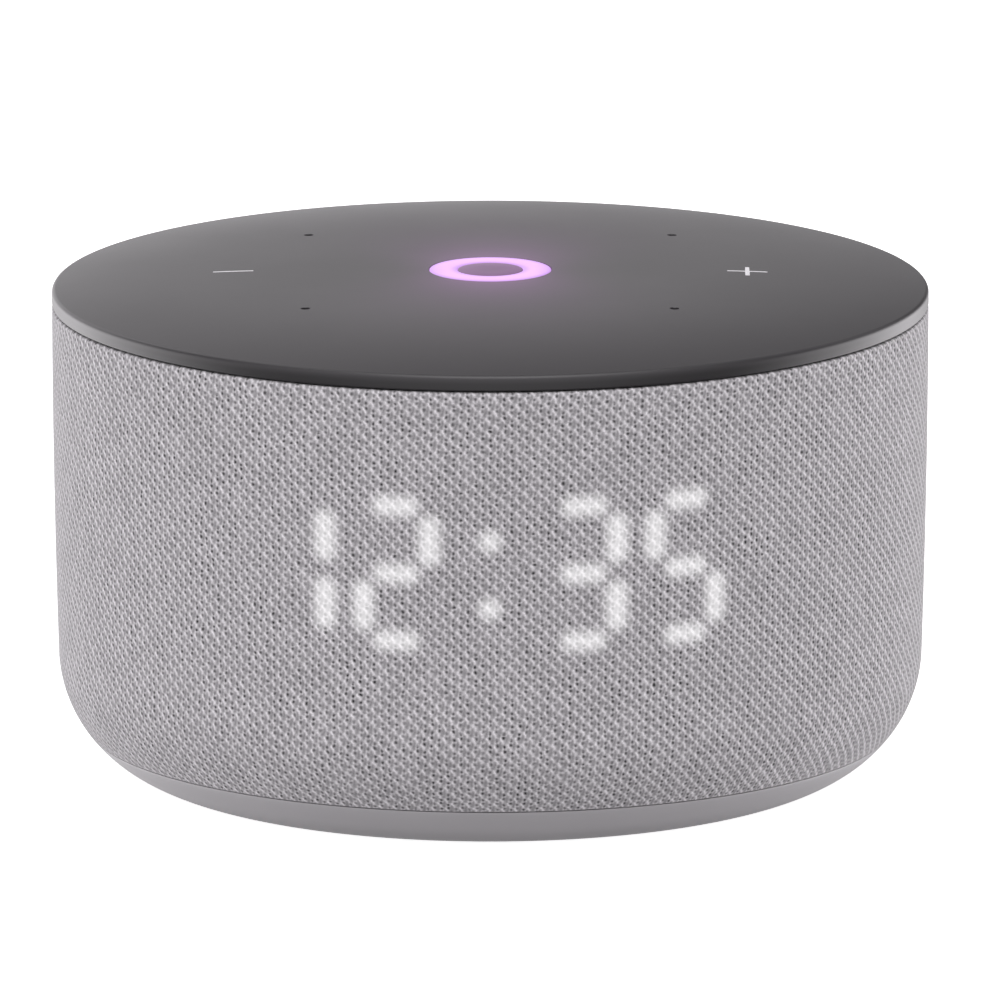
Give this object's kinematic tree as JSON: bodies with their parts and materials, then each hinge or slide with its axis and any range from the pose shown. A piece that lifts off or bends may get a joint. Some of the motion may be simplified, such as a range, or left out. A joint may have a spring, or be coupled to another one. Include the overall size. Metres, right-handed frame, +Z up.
{
  "type": "smart speaker",
  "caption": "Round puck-shaped smart speaker with a domed touch top, ring light, fabric side with a clock display, rear ports, mute switch and a downward-firing driver.",
  "frame": {"origin": "on the floor, at the middle of the foot ring", "axes": "+Z up; the clock faces -Y, the rear ports face +Y, +X is to the right seen from the front"},
  "size_m": [0.102, 0.102, 0.0606],
  "materials": {
    "top_dark": "satin moulded polycarbonate, very fine texture",
    "ring_glow": "translucent light pipe, lit pink-violet",
    "mark_white": "translucent light grey inlay",
    "knit_grey": "light grey melange warp knit, matt",
    "base_grey": "smooth satin grey moulding",
    "shell_grey": "matt grey moulding",
    "diffuser_white": "opal diffuser film",
    "light_box_white": "matt white moulding",
    "black_plastic": "matt black moulding",
    "black_rubber": "matt silicone rubber",
    "board_green": "solder mask on fibreglass",
    "tinned_steel": "tinned sheet",
    "zinc_steel": "zinc plated",
    "aluminium": "rolled sheet",
    "ferrite": "sintered ferrite",
    "copper": "enamelled copper winding",
    "paper_black": "coated paper pulp",
    "spider_amber": "resin-treated cloth",
    "thermal_grey": "soft silicone gap filler",
    "flex_amber": "polyimide film"
  },
  "bodies": {
    "housing": {"top_cover": "top_dark", "ring_lens": "ring_glow", "ring_centre_disc": "top_dark", "volume_down_mark": "mark_white", "volume_up_mark": "mark_white", "touch_board": "board_green", "ring_light_guide": "diffuser_white", "fabric_sleeve": "knit_grey", "grille_shell": "shell_grey", "base_cover": "base_grey", "foot_ring": "black_rubber", "display_diffuser": "diffuser_white", "display_light_box": "light_box_white", "display_board": "board_green", "rear_port_bezel": "shell_grey", "port_board": "board_green", "usb_c_inlet": "tinned_steel", "audio_jack": "black_plastic", "mute_switch_body": "tinned_steel", "main_board": "board_green", "processor_shield": "tinned_steel", "thermal_pad": "thermal_grey", "heat_spreader": "aluminium", "antenna_left": "board_green", "antenna_right": "board_green", "touch_flat_cable": "flex_amber", "baffle_plate": "black_plastic", "enclosure_seal": "black_rubber", "enclosure_shell": "black_plastic", "sound_deflector": "black_plastic", "driver_basket": "zinc_steel", "driver_gasket": "black_rubber", "driver_top_plate": "zinc_steel", "driver_magnet": "ferrite", "driver_yoke": "zinc_steel", "spider": "spider_amber", "surround": "black_rubber", "ring_led_1": "diffuser_white", "microphone_1": "tinned_steel", "mic_gasket_1": "black_rubber", "ring_led_2": "diffuser_white", "microphone_2": "tinned_steel", "mic_gasket_2": "black_rubber", "ring_led_3": "diffuser_white", "microphone_3": "tinned_steel", "mic_gasket_3": "black_rubber", "ring_led_4": "diffuser_white", "microphone_4": "tinned_steel", "mic_gasket_4": "black_rubber", "base_screw_1": "zinc_steel", "driver_screw_1": "zinc_steel", "base_screw_2": "zinc_steel", "driver_screw_2": "zinc_steel", "base_screw_3": "zinc_steel", "driver_screw_3": "zinc_steel"},
    "mute_slider": {"mute_slider": "top_dark"},
    "driver_diaphragm": {"driver_cone": "paper_black", "dust_cap": "paper_black", "voice_coil": "copper"}
  },
  "joints": [
    {"name": "mute_slide", "type": "slide", "parent": "housing", "child": "mute_slider", "axis": [1, 0, 0], "range_m": [0, 0.002]},
    {"name": "diaphragm_travel", "type": "slide", "parent": "housing", "child": "driver_diaphragm", "axis": [0, 0, 1], "range_m": [-0.002, 0.002], "stiffness_N_per_m": 1250, "deforming": ["surround", "spider"]}
  ]
}
